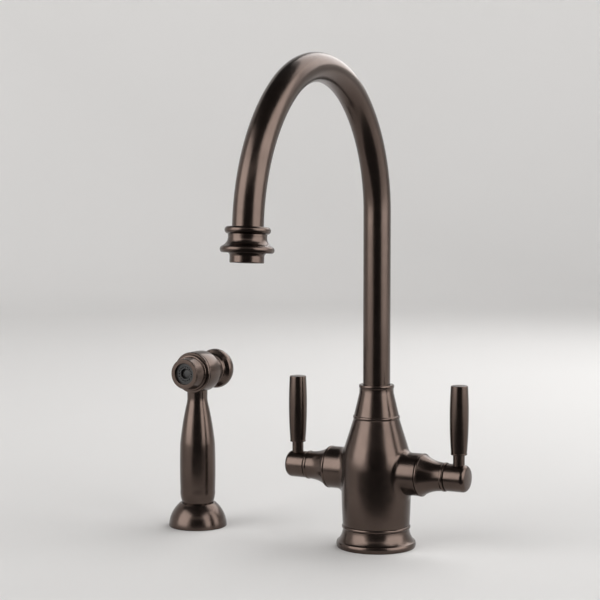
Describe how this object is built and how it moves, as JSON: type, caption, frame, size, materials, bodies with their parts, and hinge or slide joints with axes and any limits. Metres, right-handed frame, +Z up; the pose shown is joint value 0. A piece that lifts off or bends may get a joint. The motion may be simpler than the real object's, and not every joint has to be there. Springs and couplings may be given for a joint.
{
  "type": "two handle kitchen faucet",
  "caption": "Kitchen faucet with a tall swivelling gooseneck spout, hot and cold lever handles, and a side spray that stands in its own deck holder.",
  "frame": {"origin": "centre of the faucet's base flange on the deck's top face", "axes": "+Z up, along the spout's plumb leg; -Y towards the user, the way the spout reaches; +X towards the cold lever, and the spray's holder stands at -X"},
  "size_m": [0.2777, 0.2646, 0.4523],
  "materials": {
    "bronze": "satin dark bronze",
    "bronze_plastic": "satin dark bronze",
    "raw_brass": "machined",
    "steel": "zinc plated",
    "black_rubber": "moulded",
    "black_plastic": "moulded",
    "white_plastic": "moulded",
    "ceramic": "lapped ceramic"
  },
  "bodies": {
    "body": {"base_flange": "bronze", "base_gasket": "black_rubber", "body_casting": "bronze", "mounting_shank": "raw_brass", "deck_rubber_washer": "black_rubber", "deck_steel_washer": "steel", "deck_lock_nut": "raw_brass", "spout_retaining_collar": "bronze", "spout_bearing_ring": "white_plastic", "diverter_cage": "white_plastic", "hot_bonnet": "bronze", "hot_cartridge": "raw_brass", "hot_seat_seal": "black_rubber", "hot_fixed_disc": "ceramic", "cold_bonnet": "bronze", "cold_cartridge": "raw_brass", "cold_seat_seal": "black_rubber", "cold_fixed_disc": "ceramic", "spray_holder": "bronze", "spray_holder_gasket": "black_rubber", "spray_holder_shank": "black_plastic", "spray_holder_liner": "black_plastic", "spray_holder_washer": "black_rubber", "spray_holder_nut": "black_plastic"},
    "spout": {"spout_tube": "bronze", "spout_stem": "raw_brass", "spout_o_rings": "black_rubber", "outlet_collar": "bronze", "aerator_washer": "black_rubber", "aerator_housing": "bronze", "aerator_screen": "steel", "aerator_core": "white_plastic"},
    "diverter": {"diverter_piston": "black_plastic"},
    "hot_lever": {"hot_moving_disc": "ceramic", "hot_spindle": "raw_brass", "hot_spindle_o_ring": "black_rubber", "hot_lever_hub": "bronze", "hot_lever_stem": "bronze", "hot_lever_grip": "bronze", "hot_set_screw": "steel"},
    "cold_lever": {"cold_moving_disc": "ceramic", "cold_spindle": "raw_brass", "cold_spindle_o_ring": "black_rubber", "cold_lever_hub": "bronze", "cold_lever_stem": "bronze", "cold_lever_grip": "bronze", "cold_set_screw": "steel"},
    "hose_swivel": {"hose_coupling": "raw_brass", "hose_coupling_o_ring": "black_rubber"},
    "spray": {"spray_handle": "bronze_plastic", "spray_head": "bronze_plastic", "spray_nozzle": "bronze_plastic", "spray_bezel": "bronze", "spray_face": "black_plastic", "spray_spring": "steel"},
    "button": {"spray_button": "bronze_plastic", "spray_valve_rod": "raw_brass", "spray_valve_seal": "black_rubber"}
  },
  "joints": [
    {"name": "spout_swivel", "type": "hinge", "parent": "body", "child": "spout", "pos_m": [0, 0, 0.1], "axis": [0, 0, 1], "continuous": true},
    {"name": "diverter_rise", "type": "slide", "parent": "body", "child": "diverter", "axis": [0, 0, 1], "range_m": [0, 0.003]},
    {"name": "hot_lever_turn", "type": "hinge", "parent": "body", "child": "hot_lever", "pos_m": [-0.0727, 0, 0.0623], "axis": [1, 0, 0], "range_deg": [0, 90]},
    {"name": "cold_lever_turn", "type": "hinge", "parent": "body", "child": "cold_lever", "pos_m": [0.0727, 0, 0.0623], "axis": [1, 0, 0], "range_deg": [0, 90]},
    {"name": "spray_lift", "type": "slide", "parent": "body", "child": "hose_swivel", "axis": [0, 0, 1], "range_m": [0, 0.08]},
    {"name": "spray_turn", "type": "hinge", "parent": "hose_swivel", "child": "spray", "pos_m": [-0.1715, 0, 0], "axis": [0, 0, 1], "continuous": true},
    {"name": "button_press", "type": "slide", "parent": "spray", "child": "button", "axis": [0, -1, 0], "range_m": [0, 0.004], "stiffness_N_per_m": 1500, "springref_m": -0.003, "deforming": ["spray_spring"]}
  ]
}
